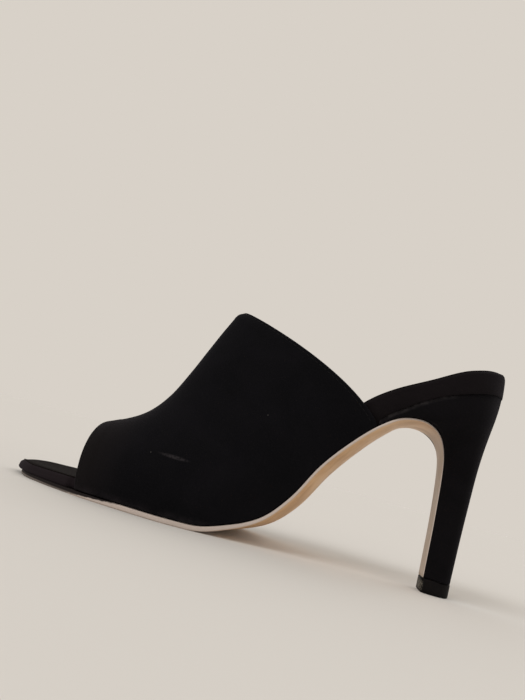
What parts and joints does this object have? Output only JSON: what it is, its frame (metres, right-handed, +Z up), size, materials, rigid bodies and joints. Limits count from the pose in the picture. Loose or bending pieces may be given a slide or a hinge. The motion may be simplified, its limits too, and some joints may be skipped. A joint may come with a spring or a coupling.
{
  "type": "mule shoe",
  "caption": "High-heeled open-toe mule: suede vamp, wrapped insole, leather outsole that runs down the front of a slim covered heel, rubber top piece.",
  "frame": {"origin": "on the floor under the tread, in the flat of the forefoot", "axes": "+X from the toe to the heel, +Z up, the inner side of the foot at -Y"},
  "size_m": [0.2103, 0.0814, 0.1022],
  "materials": {
    "sole_leather": "smooth nude leather, scuffed under the forefoot",
    "insole_suede": "black suede wrapped over the board",
    "upper_suede": "black napped suede",
    "heel_suede": "black suede glued over the heel block",
    "heel_rubber": "hard black rubber, worn at the front corner"
  },
  "bodies": {
    "root": {"outsole": "sole_leather", "insole": "insole_suede", "upper": "upper_suede", "heel": "heel_suede", "top_piece": "heel_rubber"}
  },
  "joints": []
}
